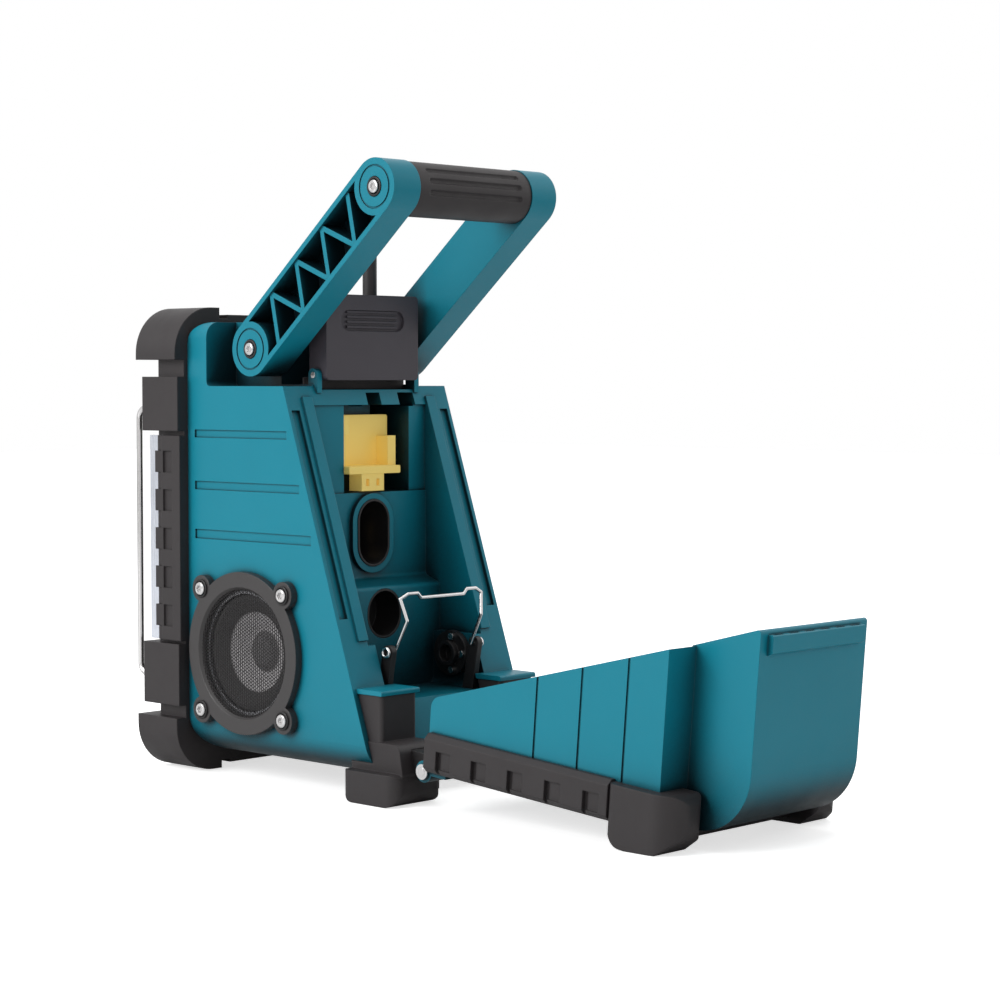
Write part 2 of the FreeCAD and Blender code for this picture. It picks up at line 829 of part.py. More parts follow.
def handle_arm():
    """A moulded arm with round bosses, an edge flange and a zigzag truss."""
    arm = arm_blank()
    floor_x = body_half_width - truss_depth
    wall = 3.2
    end = pivot_y + arm_length
    pocket = rounded_box("yz", pivot_y + 6, end - 6, pivot_z - arm_radius + wall, pivot_z + arm_radius - wall,
                         2, floor_x, body_half_width + 1)
    bosses = [rod((floor_x - 1, y, pivot_z), (body_half_width + 2, y, pivot_z), arm_radius)
              for y in (pivot_y, end)]
    pocket = pocket.cut(bosses + truss_ribs(floor_x - 1, body_half_width - 1.5))
    rings = []
    for y in (pivot_y, end):
        outer = rod((body_half_width - 0.7, y, pivot_z), (body_half_width + 1, y, pivot_z), 13.2)
        rings.append(outer.cut(rod((body_half_width - 1, y, pivot_z), (body_half_width + 2, y, pivot_z), 12)))
    heads = [rod((body_half_width - 3, y, pivot_z), (body_half_width + 1, y, pivot_z), 6.2)
             for y in (pivot_y, end)]
    bores = [rod((arm_inner_x - 1, y, pivot_z), (body_half_width, y, pivot_z),
                 pivot_screw_radius + running_clearance) for y in (pivot_y, end)]
    return to_rest_arm(arm.cut([pocket] + rings + heads + bores)).removeSplitter()


def screw(y, inner_x):
    """A socket head screw with its head sunk in the arm's outer face."""
    head = rod((body_half_width - 2.8, y, pivot_z), (body_half_width - 0.4, y, pivot_z), 5.6)
    shank = rod((inner_x, y, pivot_z), (body_half_width - 2.8, y, pivot_z), pivot_screw_radius)
    socket = rod((body_half_width - 1.6, y, pivot_z), (body_half_width, y, pivot_z), 2.5)
    return head.fuse(shank).cut(socket)


def screw_pair(y, inner_x, turned):
    one = screw(y, inner_x)
    if turned:
        one = to_rest_arm(one)
    return Part.makeCompound([one, mirrored(one)])


def handle_grip():
    """A round rubber grip with long rounded grooves along its rear and lower side."""
    y = pivot_y + arm_length
    half = arm_inner_x - grip_gap
    grip = rod((-half, y, pivot_z), (half, y, pivot_z), grip_radius)
    grooves = []
    for angle in (-130, -155, 180, 155, 130, -50, -25, 0):
        gy = y + (grip_radius + 0.6) * cos(radians(angle))
        gz = pivot_z + (grip_radius + 0.6) * sin(radians(angle))
        run = half - 10
        groove = joined([rod((-run, gy, gz), (run, gy, gz), 1.9),
                         Part.makeSphere(1.9, V(-run, gy, gz)), Part.makeSphere(1.9, V(run, gy, gz))])
        grooves.append(groove)
    hole = rod((-half - 1, y, pivot_z), (half + 1, y, pivot_z), pivot_screw_radius)
    return to_rest_arm(grip.cut(grooves + [hole]).removeSplitter())


# Latch and antenna

def latch_lever():
    """A flat lever with a ribbed oval finger recess and a hinge barrel."""
    half_depth = latch_thickness / 2
    lever = rounded_box("xz", -latch_half_width, latch_half_width, latch_bottom_z, latch_top_z, 3,
                        latch_axis_y - half_depth, latch_axis_y + half_depth)
    hollow = rounded_box("xz", -latch_half_width + 3, latch_half_width - 3, latch_bottom_z + 9,
                         latch_top_z - 3, 2, latch_axis_y - half_depth - 1, latch_axis_y + half_depth - 5)
    rear = latch_axis_y + half_depth
    low, high = 285.8, 299.0
    radius = (high - low) / 2
    recess = joined([box(-27.6 + radius, 27.6 - radius, rear - 2, rear + 1, low, high)] +
                    [rod((x, rear - 2, low + radius), (x, rear + 1, low + radius), radius)
                     for x in (-27.6 + radius, 27.6 - radius)])
    ribs = [box(-22, 22, rear - 3, rear - 0.5, low + 1.9 + i * 3.2, low + 3.3 + i * 3.2) for i in range(4)]
    bore = rod((-50, latch_axis_y, latch_axis_z), (50, latch_axis_y, latch_axis_z),
               latch_pin_radius + running_clearance)
    return lever.cut([hollow, recess.cut(ribs), bore]).removeSplitter()


def antenna():
    return joined([rod((antenna_x, antenna_y, shelf_z + 6), (antenna_x, antenna_y, antenna_top_z), antenna_radius),
                   Part.makeSphere(antenna_radius, V(antenna_x, antenna_y, antenna_top_z))])


def antenna_base():
    base = Part.makeCone(6, 5.2, 6, V(antenna_x, antenna_y, shelf_z))
    return base


# Battery cover, drawn in its own frame with s along +Y and t along +Z

def wide_profile():
    return [
        (cover_start_s, 0, 3),
        (cover_step_s, 0),
        (cover_step_s, cover_step_t),
        (cover_start_s, cover_start_t, 8),
    ]


def wide_hollow_profile():
    wall = cover_wall
    return [
        (cover_start_s - 10, wall),
        (cover_step_s - wall, wall),
        (cover_step_s - wall, cover_step_t + 40),
        (cover_start_s - 10, cover_start_t + 40),
    ]


def narrow_profile():
    return [
        (cover_step_s - 20, 0),
        (cover_end_s, 0, end_radius),
        (cover_end_s, cover_end_t, 2),
        (cover_step_s - 20, cover_step_t - 6),
    ]


def narrow_hollow_profile():
    wall = cover_wall
    return [
        (cover_step_s - 20, wall),
        (cover_end_s - wall, wall, end_radius - wall),
        (cover_end_s - wall, cover_end_t + 30),
        (cover_step_s - 20, cover_end_t + 30),
    ]


def cover_hinge_lug(x0, x1):
    eye = rod((x0, hinge_s, hinge_t), (x1, hinge_s, hinge_t), hinge_eye_radius)
    web = box(x0, x1, hinge_s, hinge_s + 18, hinge_t - 1.5, hinge_t + hinge_eye_radius)
    return eye.fuse(web)


lip_half_width = 42.0
lip_reach = 3.5
lip_bottom_t = 100.0
lip_top_t = 112.0
lip_slot_count = 6
lip_slot_width = 8.5


def cover_lip():
    """The ridge on the cover's end that the latch holds, with a row of pockets in its top."""
    root = cover_end_s - 1
    front = cover_end_s + lip_reach
    ridge = prism([(root, lip_bottom_t), (front, lip_bottom_t + 2.5), (front, lip_top_t, 1), (root, lip_top_t)],
                  "yz", -lip_half_width, lip_half_width)
    pitch = 2 * lip_half_width / lip_slot_count
    slots = []
    for i in range(lip_slot_count):
        x = -lip_half_width + (i + 0.5) * pitch
        slots.append(box(x - lip_slot_width / 2, x + lip_slot_width / 2, cover_end_s + 0.5, front - 1.2,
                         lip_top_t - 5, lip_top_t + 1))
    return ridge.cut(slots)


def cover_shell():
    wall = cover_wall
    wide = prism(wide_profile(), "yz", -cover_half_width, cover_half_width)
    narrow = prism(narrow_profile(), "yz", -narrow_half_width, narrow_half_width)
    shell = wide.fuse(narrow)
    wide_hollow = prism(wide_hollow_profile(), "yz", -cover_half_width + wall, cover_half_width - wall)
    narrow_hollow = prism(narrow_hollow_profile(), "yz", -narrow_half_width + wall, narrow_half_width - wall)
    shell = shell.cut([wide_hollow, narrow_hollow])
    keep_clear = box(-body_lug_outer_x - 1.5, body_lug_outer_x + 1.5, -10, hinge_s + hinge_eye_radius + 1,
                     -20, 12)
    shell = shell.cut(keep_clear)
    lug = cover_hinge_lug(cover_lug_inner_x, cover_half_width)
    shell = shell.fuse([cover_lip(), lug, mirrored(lug)])
    cuts = [rod((-90, hinge_s, hinge_t), (90, hinge_s, hinge_t), hinge_pin_radius + running_clearance)]
    for s in (88, 121, 154):
        groove = box(cover_half_width - 0.9, cover_half_width + 1, s, s + 1.6, 22, 130)
        cuts += [groove, mirrored(groove)]
    return to_open_cover(shell.cut(cuts)).removeSplitter()


bar_start_s = 8.0
bar_end_s = 150.0
bar_height = 23.2
bar_outer_x = 77.5
bar_chamfer = 3.0
notch_count = 5
notch_start_s = 17.7
notch_pitch = 28.6
notch_length = 12.0
notch_bottom_t = 3.5
notch_top_t = 14.0
notch_depth = 1.6
foot_end_s = 197.0
foot_outer_x = 79.0
foot_inner_x = 52.0
foot_drop = 12.6


def cover_bar():
    """The notched rubber rail along the cover's lower edge."""
    bar = prism([(cover_half_width, 0), (bar_outer_x - bar_chamfer, 0), (bar_outer_x, bar_chamfer),
                 (bar_outer_x, bar_height - bar_chamfer), (bar_outer_x - bar_chamfer, bar_height),
                 (cover_half_width, bar_height)],
                "xz", bar_start_s, bar_end_s)
    notches = []
    for i in range(notch_count):
        s = notch_start_s + i * notch_pitch
        notches.append(box(bar_outer_x - notch_depth, bar_outer_x + 1, s, s + notch_length,
                           notch_bottom_t, notch_top_t))
        notches.append(box(bar_outer_x - bar_chamfer, bar_outer_x + 1, s, s + notch_length / 4,
                           -1, notch_top_t))
    return to_open_cover(bar.cut(notches).removeSplitter())


def cover_foot():
    """The rounded rubber corner that the open cover stands on."""
    profile = [(bar_end_s + 0.3, 22), (bar_end_s + 0.3, -5, 6), (bar_end_s + 8, -foot_drop, 8),
               (foot_end_s - 14, -foot_drop - 1.2, 12), (foot_end_s, -2, 8), (foot_end_s, 22, 6)]
    side = prism(profile, "yz", foot_inner_x, foot_outer_x)
    plan = prism([(foot_inner_x, bar_end_s), (foot_outer_x, bar_end_s, 6), (foot_outer_x, foot_end_s, 16),
                  (foot_inner_x, foot_end_s, 4)], "xy", -40, 60)
    wide_space = box(0, cover_half_width, 0, cover_step_s, 0, 60)
    foot = to_open_cover(side.common(plan).cut(wide_space))
    return foot.common(box(0, 100, 200, 400, 0, 100)).removeSplitter()


def cover_cross_bar():
    bar = rounded_box("yz", 166, 178, -9, -0.2, 2, -52, 52)
    return to_open_cover(bar)


def hinge_pin():
    end = cover_half_width + 2.2
    pin = rod((-end, hinge_y, hinge_z), (end, hinge_y, hinge_z), hinge_pin_radius)
    caps = [rod((x, hinge_y, hinge_z), (x + 1.4, hinge_y, hinge_z), 4.6)
            for x in (cover_half_width + 0.6, -cover_half_width - 2.0)]
    return joined([pin] + caps)


def rear_boot():
    """The rubber corner under the housing: a straight block above a bulging foot."""
    start = boot_front_y
    toe = prism([(start, 0, 8), (boot_rear_y, 0, 9), (boot_rear_y, boot_toe_z, 5), (start, boot_toe_z)],
                "yz", boot_inner_x, boot_half_width)
    plan = prism([(boot_inner_x, start - 1), (boot_half_width, start - 1, 6),
                  (boot_half_width, boot_rear_y, 9), (boot_inner_x, boot_rear_y, 3)], "xy", -5, 60)
    waist = prism([(start, 8), (boot_waist_y + 3, 8), (boot_waist_y + 3, boot_toe_z), (boot_waist_y, boot_waist_z, 6),
                   (start, boot_waist_z)], "yz", boot_inner_x, boot_waist_x)
    block = rounded_box("xy", boot_inner_x, block_outer_x, start, block_rear_y, 3, 10, block_top_z)
    boot = joined([toe.common(plan), waist, block])
    return boot.cut([housing_blank(), hinge_bracket()]).removeSplitter()


def write_all():
    os.makedirs("parts", exist_ok=True)
    write("body_shell", body_shell())
    write("dc_inlet", jack(inlet_y, inlet_radius, inlet_bore_radius))
    write("aux_socket", jack(aux_y, aux_radius, aux_bore_radius))
    write("front_bumper", front_bumper())
    write_pair("front_guard", front_guard())
    write_pair("trim_strip", trim_strip())
    write("front_panel", front_panel())
    for number, (x, z) in enumerate(button_places, 1):
        write("button_%d" % number, button(x, z))
    write("tuning_knob", tuning_knob())
    write("circuit_board", circuit_board())
    write("display_module", display_module())
    write("display_window", display_window())
    write_pair("speaker_ring", speaker_ring())
    write_pair("speaker_grille", speaker_grille())
    write_pair("speaker_cone", speaker_cone())
    write_pair("speaker_basket", speaker_basket())
    write("speaker_screws", speaker_screws())
    write("battery_terminal", battery_terminal())
    write("terminal_blades", terminal_blades())
    write("pod_socket", socket_liner(socket_bottom, socket_top, socket_half, socket_wall_y + 3.5, socket_depth))
    write("pod_contacts", pod_contacts())
    write("slide_socket", socket_liner(lower_socket_bottom, lower_socket_top, lower_socket_half,
                                       lower_wall_y, lower_socket_depth - 0.5))
    write("backup_plate", backup_plate())
    write("bay_screws", bay_screws())
    write("bail_posts", bail_posts())
    write("battery_bail", battery_bail())
    write_pair("handle_arm", handle_arm())
    write("handle_grip", handle_grip())
    write("grip_screws", screw_pair(pivot_y + arm_length, arm_inner_x - 14, True))
    write("pivot_screws", screw_pair(pivot_y, recess_inner_x - 12, False))
    write("latch_lever", latch_lever())
    write("latch_pin", rod((-latch_half_width - 4.4, latch_axis_y, latch_axis_z),
                           (latch_half_width + 4.4, latch_axis_y, latch_axis_z), latch_pin_radius))
    write("antenna", antenna())
    write("antenna_base", antenna_base())
    write("cover_shell", cover_shell())
    write_pair("cover_bar", cover_bar())
    write_pair("cover_foot", cover_foot())
    write("cover_cross_bar", cover_cross_bar())
    write("hinge_pin", hinge_pin())
    write_pair("hinge_bracket", hinge_bracket())
    write_pair("rear_boot", rear_boot())


write_all()
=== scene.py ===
import bpy
import json
import math
from mathutils import Matrix, Vector

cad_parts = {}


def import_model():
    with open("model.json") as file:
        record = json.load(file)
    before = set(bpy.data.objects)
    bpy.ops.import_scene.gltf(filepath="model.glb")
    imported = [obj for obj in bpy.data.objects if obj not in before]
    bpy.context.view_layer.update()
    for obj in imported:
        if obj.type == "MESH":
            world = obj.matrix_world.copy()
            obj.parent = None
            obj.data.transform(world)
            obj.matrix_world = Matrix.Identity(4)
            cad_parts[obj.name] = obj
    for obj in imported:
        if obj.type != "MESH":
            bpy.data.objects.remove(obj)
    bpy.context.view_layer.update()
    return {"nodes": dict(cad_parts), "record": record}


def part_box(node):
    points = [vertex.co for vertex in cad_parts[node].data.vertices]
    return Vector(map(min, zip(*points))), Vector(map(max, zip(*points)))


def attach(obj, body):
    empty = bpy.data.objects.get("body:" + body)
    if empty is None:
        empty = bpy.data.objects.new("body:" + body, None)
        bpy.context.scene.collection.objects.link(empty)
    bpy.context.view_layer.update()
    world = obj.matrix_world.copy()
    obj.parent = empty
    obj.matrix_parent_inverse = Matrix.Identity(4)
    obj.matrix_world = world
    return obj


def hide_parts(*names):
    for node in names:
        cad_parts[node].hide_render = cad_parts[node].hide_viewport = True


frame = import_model()
nodes = frame["nodes"]
bpy.ops.object.select_all(action="DESELECT")

MM = 0.001
SIDES = ("right", "left")
QUARTER_TURN = math.radians(90)

# Colours of the finishes, in linear light
TEAL = (0.0035, 0.190, 0.262)
RUBBER = (0.022, 0.0185, 0.0195)
DARK_PLASTIC = (0.012, 0.011, 0.0115)
LEVER_PLASTIC = (0.050, 0.044, 0.054)
RING_PLASTIC = (0.026, 0.0235, 0.024)
KEY_RUBBER = (0.10, 0.10, 0.105)
YELLOW = (1.0, 0.74, 0.20)
BRIGHT_STEEL = (0.62, 0.61, 0.61)
SILVER = (0.70, 0.73, 0.80)
PLATED_IRON = (0.34, 0.34, 0.36)
MESH_COATING = (0.010, 0.009, 0.0095)
PAPER = (0.52, 0.50, 0.51)
BRASS = (0.78, 0.56, 0.26)
LCD_LIGHT = (0.33, 0.38, 0.27)
LCD_MARK = (0.02, 0.025, 0.02)
PRINT = (0.62, 0.62, 0.60)
CLEAR_HAZY = (0.90, 0.93, 0.90)
CLEAR_CLEAN = (0.95, 0.97, 0.95)
SOLDER_MASK = (0.010, 0.10, 0.035)
SOLDER_MASK_THIN = (0.014, 0.13, 0.045)
COVERED_TRACK = (0.03, 0.2, 0.08)
FLOOR_DULL = (0.93, 0.93, 0.93)
FLOOR_CLEAN = (0.96, 0.96, 0.96)
WHITE = (1, 1, 1)

# Most of a noise pattern's values lie between these
NOISE_LOW = 0.3
NOISE_HIGH = 0.7

# Painted shade in the housing's hollows: how far it reaches, how open the deepest and the shallowest are, and
# its tint
PAINTED_SHADE_REACH = 80 * MM
PAINTED_SHADE_DEEPEST = 0.36
PAINTED_SHADE_SHALLOWEST = 0.80
PAINTED_SHADE_TINT = (1.0, 0.08, 0.08)
PAINTED_SHADE_SAMPLES = 8
EDGE_SAMPLES = 4

# Strength of the painted glow that brightens the terminal's plastic, though it is no lamp
YELLOW_PAINTED_GLOW = 0.1

# The cone's rings from its middle to its rim: share of the radius, and brightness of the paper there
CONE_ZONES = ((0.0, 0.3), (0.34, 0.3), (0.37, 1.0), (0.67, 1.0), (0.70, 0.12), (1.0, 0.12))
FIBRE_SHADOW = (0.8, 0.8, 0.8)

# Scales of the patterns, from coarse to fine
FLOOR_SCALE = 3
CLOUD_SCALE = 14
HAZE_SCALE = 40
TARNISH_SCALE = 60
WEAR_SCALE = 70
TRACK_SCALE = 90
MASK_SCALE = 120
COLUMN_SCALE = 260
FIBRE_SCALE = 700
DRAWN_LINE_SCALE = 900

# Roughness: alone, from smoothest to roughest, or to either side of the finish's own
FLOOR_ROUGH = 0.6
PAPER_ROUGH = 0.8
CLEAR_ROUGH = (0.04, 0.08)
LCD_ROUGH = (0.35, 0.5)
BOARD_ROUGH = (0.3, 0.42)
MOULDED_SMOOTHER = 0.04
MOULDED_ROUGHER = 0.05
METAL_SMOOTHER = 0.05
METAL_ROUGHER = 0.08

# How dark tarnish and the gaps between dot columns are, and where the gaps begin and end in their wave
TARNISH = 0.92
COLUMN_GAP = 0.88
GAP_START = 0.1
GAP_END = 0.5

# Depths of the surfaces' relief
FIBRE_DEPTH = 0.1 * MM
FIBRE_EDGE = 0.4 * MM
DRAWN_LINE_DEPTH = 0.004 * MM
CLEAR_IOR = 1.35


# Materials

def new_material(name):
    """A material with its shader, and the place on the object as its pattern's ground."""
    material = bpy.data.materials.new(name)
    material.use_nodes = True
    tree = material.node_tree
    shader = tree.nodes["Principled BSDF"]
    place = tree.nodes.new("ShaderNodeTexCoord").outputs["Object"]
    return material, tree, shader, place


def noise(tree, place, scale, detail=4.0, stretch=None):
    if stretch:
        mapping = tree.nodes.new("ShaderNodeMapping")
        mapping.inputs["Scale"].default_value = stretch
        tree.links.new(place, mapping.inputs["Vector"])
        place = mapping.outputs["Vector"]
    node = tree.nodes.new("ShaderNodeTexNoise")
    node.inputs["Scale"].default_value = scale
    node.inputs["Detail"].default_value = detail
    tree.links.new(place, node.inputs["Vector"])
    return node.outputs["Fac"]


def colour_between(tree, factor, low, high, start=NOISE_LOW, end=NOISE_HIGH):
    ramp = tree.nodes.new("ShaderNodeValToRGB")
    ramp.color_ramp.elements[0].position = start
    ramp.color_ramp.elements[0].color = (*low, 1)
    ramp.color_ramp.elements[1].position = end
    ramp.color_ramp.elements[1].color = (*high, 1)
    tree.links.new(factor, ramp.inputs["Fac"])
    return ramp.outputs["Color"]


def value_between(tree, factor, low, high):
    spread = tree.nodes.new("ShaderNodeMapRange")
    spread.inputs["From Min"].default_value = NOISE_LOW
    spread.inputs["From Max"].default_value = NOISE_HIGH
    spread.inputs["To Min"].default_value = low
    spread.inputs["To Max"].default_value = high
    tree.links.new(factor, spread.inputs["Value"])
    return spread.outputs["Result"]


def multiplied(tree, first, second):
    product = tree.nodes.new("ShaderNodeMix")
    product.data_type = "RGBA"
    product.blend_type = "MULTIPLY"
    product.inputs["Factor"].default_value = 1.0
    tree.links.new(first, product.inputs["A"])
    tree.links.new(second, product.inputs["B"])
    return product.outputs["Result"]


def surface_relief(tree, shader, height, depth, edge_radius):
    """Rounded looking edges with a fine bump laid on them."""
    edge = tree.nodes.new("ShaderNodeBevel")
    edge.samples = EDGE_SAMPLES
    edge.inputs["Radius"].default_value = edge_radius
    bump = tree.nodes.new("ShaderNodeBump")
    bump.inputs["Distance"].default_value = depth
    bump.inputs["Strength"].default_value = 1.0
    tree.links.new(height, bump.inputs["Height"])
    tree.links.new(edge.outputs["Normal"], bump.inputs["Normal"])
    tree.links.new(bump.outputs["Normal"], shader.inputs["Normal"])


def shade(colour, factor):
    return tuple(min(1.0, channel * factor) for channel in colour)


def moulded(name, colour, rough, spread=0.06, grain=2600, grain_depth=0.02 * MM, edge=0.6 * MM, gloss=0.35):
    """Moulded plastic or rubber: slight cloudiness, a fine spark-eroded grain and soft edges."""
    material, tree, shader, place = new_material(name)
    cloud = noise(tree, place, CLOUD_SCALE)
    wear = noise(tree, place, WEAR_SCALE)
    fine = noise(tree, place, grain, detail=2)
    tree.links.new(colour_between(tree, cloud, shade(colour, 1 - spread), shade(colour, 1 + spread)),
                   shader.inputs["Base Color"])
    tree.links.new(value_between(tree, wear, rough - MOULDED_SMOOTHER, rough + MOULDED_ROUGHER),
                   shader.inputs["Roughness"])
    shader.inputs["Specular IOR Level"].default_value = gloss
    surface_relief(tree, shader, fine, grain_depth, edge)
    return material


def housing_plastic_with_painted_shade(name):
    """The housing's satin teal, with painted shade that darkens it in the hollows, found by ambient
    occlusion.
    """
    material = moulded(name, TEAL, 0.36, spread=0.03, gloss=0.22)
    tree = material.node_tree
    base = tree.nodes["Principled BSDF"].inputs["Base Color"]
    # Painted shade: ambient occlusion multiplies the teal darker in hollows and recesses.
    painted_shade_ao = tree.nodes.new("ShaderNodeAmbientOcclusion")
    painted_shade_ao.samples = PAINTED_SHADE_SAMPLES
    painted_shade_ao.inputs["Distance"].default_value = PAINTED_SHADE_REACH
    painted_shade = colour_between(tree, painted_shade_ao.outputs["AO"], PAINTED_SHADE_TINT, WHITE, PAINTED_SHADE_DEEPEST, PAINTED_SHADE_SHALLOWEST)
    tree.links.new(multiplied(tree, base.links[0].from_socket, painted_shade), base)
    return material


def yellow_plastic(name):
    """The terminal's bright yellow, with a faint painted glow that brightens it, though it is no lamp."""
    material = moulded(name, YELLOW, 0.38, spread=0.03)
    shader = material.node_tree.nodes["Principled BSDF"]
    # Painted light: a weak emission in the terminal's own yellow.
    shader.inputs["Emission Color"].default_value = (*YELLOW, 1)
    shader.inputs["Emission Strength"].default_value = YELLOW_PAINTED_GLOW
    return material


def metal(name, colour, rough, stretch=None, edge=0.25 * MM):
    """Plated or brushed metal with drawn lines along the stretch."""
    material, tree, shader, place = new_material(name)
    shader.inputs["Metallic"].default_value = 1.0
    lines = noise(tree, place, DRAWN_LINE_SCALE, stretch=stretch)
    tarnish = noise(tree, place, TARNISH_SCALE)
    tree.links.new(colour_between(tree, tarnish, shade(colour, TARNISH), colour), shader.inputs["Base Color"])
    tree.links.new(value_between(tree, lines, rough - METAL_SMOOTHER, rough + METAL_ROUGHER),
                   shader.inputs["Roughness"])
    surface_relief(tree, shader, lines, DRAWN_LINE_DEPTH, edge)
    return material


def share_of_radius(tree, place, node):
    """How far a place lies from the axis of a round node that faces sideways, with its rim at one."""
    low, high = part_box(node)
    centre = (low + high) / 2
    radius = (high.y - low.y) / 2
    middle = tree.nodes.new("ShaderNodeMapping")
    middle.inputs["Location"].default_value = (0, -centre.y, -centre.z)
    tree.links.new(place, middle.inputs["Vector"])
    flat = tree.nodes.new("ShaderNodeVectorMath")
    flat.operation = "MULTIPLY"
    flat.inputs[1].default_value = (0, 1 / radius, 1 / radius)
    tree.links.new(middle.outputs["Vector"], flat.inputs[0])
    reach = tree.nodes.new("ShaderNodeVectorMath")
    reach.operation = "LENGTH"
    tree.links.new(flat.outputs["Vector"], reach.inputs[0])
    return reach.outputs["Value"]


def pressed_paper(name):
    """A pale felted cone between a dark dust cap and a dark rubber surround."""
    material, tree, shader, place = new_material(name)
    zones = tree.nodes.new("ShaderNodeValToRGB")
    stops = zones.color_ramp.elements
    middle, *between, rim = CONE_ZONES
    for stop, (position, brightness) in zip((stops[0], stops[1]), (middle, rim)):
        stop.position = position
        stop.color = (*shade(PAPER, brightness), 1)
    for position, brightness in between:
        stops.new(position).color = (*shade(PAPER, brightness), 1)
    tree.links.new(share_of_radius(tree, place, "speaker_cone_right"), zones.inputs["Fac"])
    fibre = noise(tree, place, FIBRE_SCALE, detail=6)
    felt = colour_between(tree, fibre, FIBRE_SHADOW, WHITE)
    tree.links.new(multiplied(tree, zones.outputs["Color"], felt), shader.inputs["Base Color"])
    shader.inputs["Roughness"].default_value = PAPER_ROUGH
    surface_relief(tree, shader, fibre, FIBRE_DEPTH, FIBRE_EDGE)
    return material


def clear_plastic(name):
    material, tree, shader, place = new_material(name)
    haze = noise(tree, place, HAZE_SCALE)
    tree.links.new(colour_between(tree, haze, CLEAR_HAZY, CLEAR_CLEAN), shader.inputs["Base Color"])
    tree.links.new(value_between(tree, haze, *CLEAR_ROUGH), shader.inputs["Roughness"])
    shader.inputs["Transmission Weight"].default_value = 1.0
    shader.inputs["IOR"].default_value = CLEAR_IOR
    return material


def lcd_backing(name):
    """The display's reflector, with the faint dot columns of an unlit panel."""
    material, tree, shader, place = new_material(name)
    columns = tree.nodes.new("ShaderNodeTexWave")
    columns.bands_direction = "X"
    columns.inputs["Scale"].default_value = COLUMN_SCALE
    columns.inputs["Distortion"].default_value = 0.0
    tree.links.new(place, columns.inputs["Vector"])
    gap = shade(LCD_LIGHT, COLUMN_GAP)
    tree.links.new(colour_between(tree, columns.outputs["Fac"], gap, LCD_LIGHT, GAP_START, GAP_END),
                   shader.inputs["Base Color"])
    tree.links.new(value_between(tree, noise(tree, place, TARNISH_SCALE), *LCD_ROUGH),
                   shader.inputs["Roughness"])
    return material


def board_green(name):
    """Solder mask with faint copper tracks under it."""
    material, tree, shader, place = new_material(name)
    tracks = tree.nodes.new("ShaderNodeTexBrick")
    tracks.inputs["Scale"].default_value = TRACK_SCALE
    tracks.inputs["Color1"].default_value = (*SOLDER_MASK, 1)
    tracks.inputs["Color2"].default_value = (*SOLDER_MASK_THIN, 1)
    tracks.inputs["Mortar"].default_value = (*COVERED_TRACK, 1)
    tree.links.new(place, tracks.inputs["Vector"])
    tree.links.new(tracks.outputs["Color"], shader.inputs["Base Color"])
    tree.links.new(value_between(tree, noise(tree, place, MASK_SCALE), *BOARD_ROUGH),
                   shader.inputs["Roughness"])
    return material


finish = {
    "teal": housing_plastic_with_painted_shade("teal_plastic"),
    "rubber": moulded("black_rubber", RUBBER, 0.52, spread=0.08, grain=1800, grain_depth=0.04 * MM,
                      edge=1.2 * MM),
    "dark": moulded("dark_plastic", DARK_PLASTIC, 0.42, spread=0.1, edge=0.8 * MM),
    "lever": moulded("lever_plastic", LEVER_PLASTIC, 0.45, spread=0.05, edge=0.8 * MM),
    "ring": moulded("ring_plastic", RING_PLASTIC, 0.40, edge=0.9 * MM, gloss=0.5),
    "yellow": yellow_plastic("yellow_plastic"),
    "key": moulded("key_rubber", KEY_RUBBER, 0.55, edge=1.0 * MM),
    "print": moulded("pale_print", PRINT, 0.5, edge=0.05 * MM),
    "lcd_mark": moulded("display_mark", LCD_MARK, 0.5, edge=0.05 * MM),
    "lcd": lcd_backing("display_backing"),
    "steel": metal("bright_steel", BRIGHT_STEEL, 0.16),
    "silver": metal("silver_trim", SILVER, 0.24, stretch=(1, 1, 0.05)),
    "basket": metal("plated_iron", PLATED_IRON, 0.38),
    "brass": metal("brass_contact", BRASS, 0.25),
    "mesh": moulded("mesh_coating", MESH_COATING, 0.45, grain=3000, edge=0.1 * MM, gloss=0.25),
    "paper": pressed_paper("cone_paper"),
    "window": clear_plastic("display_cover"),
    "board": board_green("board_green"),
}

finish_of_slot = {
    "teal_housing": "teal", "black_plastic": "dark", "black_rubber": "rubber", "bright_steel": "steel",
    "silver_trim": "silver", "circuit_board": "board", "clear_window": "window", "grille_steel": "mesh",
    "paper_cone": "paper", "magnet_steel": "basket", "yellow_plastic": "yellow", "brass_contact": "brass",
    "grey_button": "key",
}
finish_of_node = {
    "latch_lever": "lever", "speaker_ring_right": "ring", "speaker_ring_left": "ring",
    "display_module": "lcd",
}


def paint(piece, material):
    piece.data.materials.clear()
    piece.data.materials.append(material)


def paint_nodes():
    for part in frame["record"]["subparts"]:
        kind = finish_of_node.get(part["node"], finish_of_slot[part["material_slot"]])
        paint(nodes[part["node"]], finish[kind])


# Modelling helpers

def finished(name, body, kind, stands_for=()):
    """Names the active piece, settles its place in its mesh, paints it and lets it ride."""
    piece = bpy.context.object
    piece.name = name
    bpy.ops.object.transform_apply(location=True, rotation=True, scale=True)
    paint(piece, finish[kind])
    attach(piece, body)
    if stands_for:
        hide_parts(*stands_for)
    bpy.ops.object.select_all(action="DESELECT")


def apply_modifiers(piece):
    bpy.context.view_layer.objects.active = piece
    for modifier in list(piece.modifiers):
        bpy.ops.object.modifier_apply(modifier=modifier.name)


def joined(pieces):
    """The pieces as one object, which is left active."""
    bpy.ops.object.select_all(action="DESELECT")
    for piece in pieces:
        piece.select_set(True)
    bpy.context.view_layer.objects.active = pieces[0]
    if len(pieces) > 1:
        bpy.ops.object.join()
    return bpy.context.object


